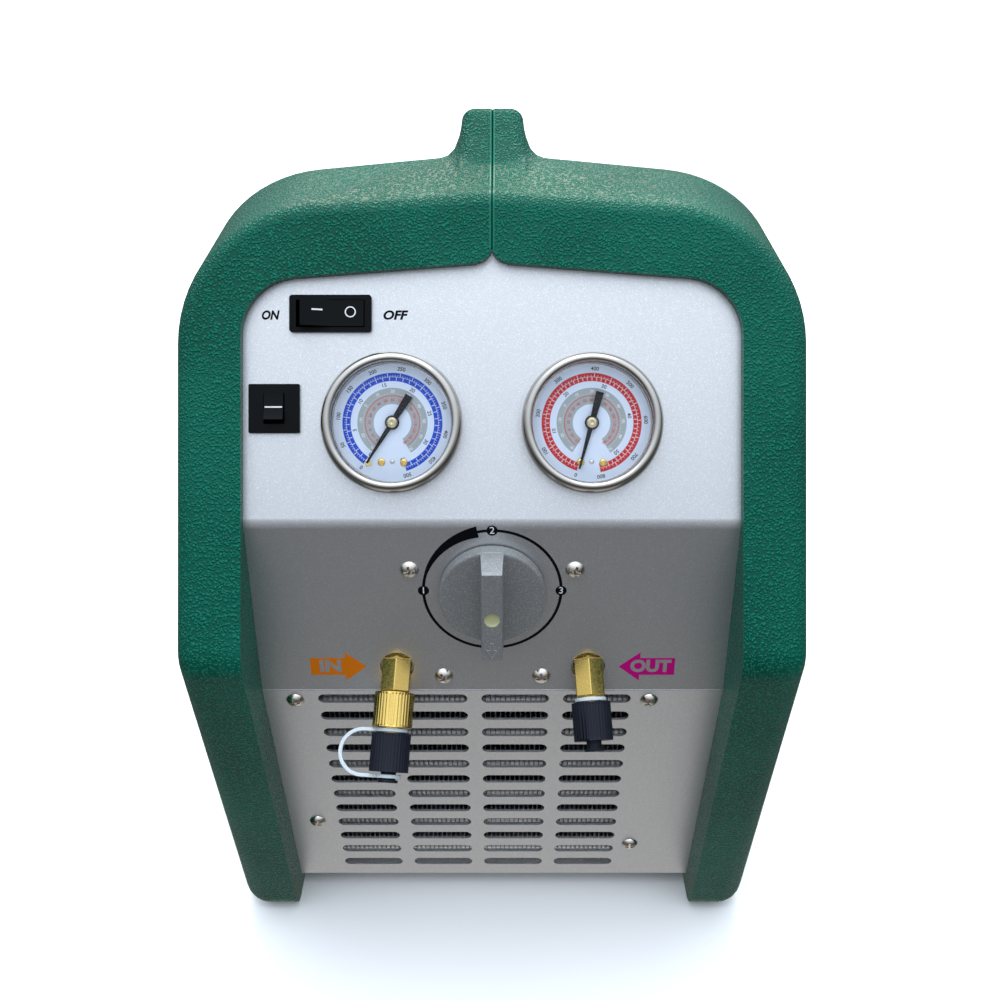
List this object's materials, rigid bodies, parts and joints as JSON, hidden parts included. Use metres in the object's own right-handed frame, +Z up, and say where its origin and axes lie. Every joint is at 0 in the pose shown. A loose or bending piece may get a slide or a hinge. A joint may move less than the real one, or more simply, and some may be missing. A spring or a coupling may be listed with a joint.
{
  "type": "refrigerant recovery machine",
  "caption": "Portable refrigerant recovery machine: carry handle shell, sloped control panel with gauges and selector valve, two flare ports, condenser grille, fan and compressor.",
  "frame": {"origin": "on the floor below the middle of the machine", "axes": "+X to the right seen from the control panel, +Y from the control panel to the back, +Z up"},
  "size_m": [0.254, 0.4031, 0.38],
  "materials": {
    "green_shell": "moulded, leather-grain texture",
    "silver_panel": "silver metallic paint, satin",
    "zinc_steel": "zinc plated",
    "black_rubber": "matt",
    "black_plastic": "satin",
    "gauge_steel": "polished stainless",
    "dial_paint": "printed",
    "clear_lens": "clear",
    "pointer_black": "painted",
    "yellow_brass": "machined",
    "silver_knob": "silver paint with fine flake",
    "cast_aluminium": "as cast",
    "copper_tube": "drawn copper tube",
    "dark_paint": "black paint",
    "white_nylon": "translucent nylon"
  },
  "bodies": {
    "machine": {"left_shell": "green_shell", "right_shell": "green_shell", "control_panel": "silver_panel", "grille_panel": "silver_panel", "rear_panel": "silver_panel", "base_tray": "zinc_steel", "tray_screws": "zinc_steel", "rubber_feet": "black_rubber", "valve_screws": "zinc_steel", "grille_screws": "zinc_steel", "switch_body": "black_plastic", "breaker_body": "black_plastic", "low_gauge_case": "gauge_steel", "low_gauge_bezel": "gauge_steel", "low_gauge_dial": "dial_paint", "low_gauge_lens": "clear_lens", "low_gauge_stem": "yellow_brass", "high_gauge_case": "gauge_steel", "high_gauge_bezel": "gauge_steel", "high_gauge_dial": "dial_paint", "high_gauge_lens": "clear_lens", "high_gauge_stem": "yellow_brass", "valve_block": "cast_aluminium", "inlet_fitting": "yellow_brass", "filter_screen": "zinc_steel", "inlet_strap": "white_nylon", "outlet_fitting": "yellow_brass", "outlet_strap": "white_nylon", "condenser_fins": "cast_aluminium", "condenser_tubes": "cast_aluminium", "condenser_brackets": "zinc_steel", "fan_frame": "dark_paint", "fan_motor": "dark_paint", "crankcase": "cast_aluminium", "compressor_motor": "dark_paint", "cylinder_head": "cast_aluminium", "rubber_mounts": "black_rubber", "suction_line": "copper_tube", "discharge_line": "copper_tube", "liquid_line": "copper_tube", "gauge_lines": "copper_tube", "pressure_switch": "black_plastic", "run_capacitor": "cast_aluminium", "power_inlet": "black_plastic"},
    "power_rocker": {"switch_rocker": "black_plastic"},
    "breaker_rocker": {"breaker_rocker": "black_plastic"},
    "low_pointer": {"low_gauge_pointer": "pointer_black"},
    "high_pointer": {"high_gauge_pointer": "pointer_black"},
    "selector_knob": {"valve_knob": "silver_knob", "valve_spindle": "zinc_steel"},
    "filter_nut": {"filter_nut": "yellow_brass"},
    "inlet_cap": {"inlet_cap": "black_plastic"},
    "outlet_cap": {"outlet_cap": "black_plastic"},
    "fan": {"fan_impeller": "black_plastic"}
  },
  "joints": [
    {"name": "power_rocker_tilt", "type": "hinge", "parent": "machine", "child": "power_rocker", "pos_m": [-0.0647, -0.12807, 0.3125], "axis": [0, -0.4695, -0.8829], "range_deg": [0, 20]},
    {"name": "breaker_rocker_tilt", "type": "hinge", "parent": "machine", "child": "breaker_rocker", "pos_m": [-0.0873, -0.14593, 0.27891], "axis": [1, 0, 0], "range_deg": [0, 20]},
    {"name": "low_pointer_turn", "type": "hinge", "parent": "machine", "child": "low_pointer", "pos_m": [-0.04, -0.14946, 0.27439], "axis": [0, 0.8829, -0.4695], "range_deg": [0, 270]},
    {"name": "high_pointer_turn", "type": "hinge", "parent": "machine", "child": "high_pointer", "pos_m": [0.04, -0.14946, 0.27439], "axis": [0, 0.8829, -0.4695], "range_deg": [0, 270]},
    {"name": "selector_turn", "type": "hinge", "parent": "machine", "child": "selector_knob", "pos_m": [0, -0.1686, 0.207], "axis": [0, 1, 0], "range_deg": [0, 270]},
    {"name": "filter_nut_turn", "type": "hinge", "parent": "machine", "child": "filter_nut", "pos_m": [-0.041, -0.1686, 0.1685], "axis": [-0.061, -0.6679, -0.7418], "range_deg": [0, 360]},
    {"name": "inlet_cap_turn", "type": "hinge", "parent": "filter_nut", "child": "inlet_cap", "pos_m": [-0.041, -0.1686, 0.1685], "axis": [-0.061, -0.6679, -0.7418], "range_deg": [0, 360]},
    {"name": "outlet_cap_turn", "type": "hinge", "parent": "machine", "child": "outlet_cap", "pos_m": [0.041, -0.1686, 0.1685], "axis": [0.061, -0.6679, -0.7418], "range_deg": [0, 360]},
    {"name": "fan_spin", "type": "hinge", "parent": "machine", "child": "fan", "pos_m": [-0.009, -0.0844, 0.092], "axis": [0, 1, 0], "continuous": true}
  ]
}
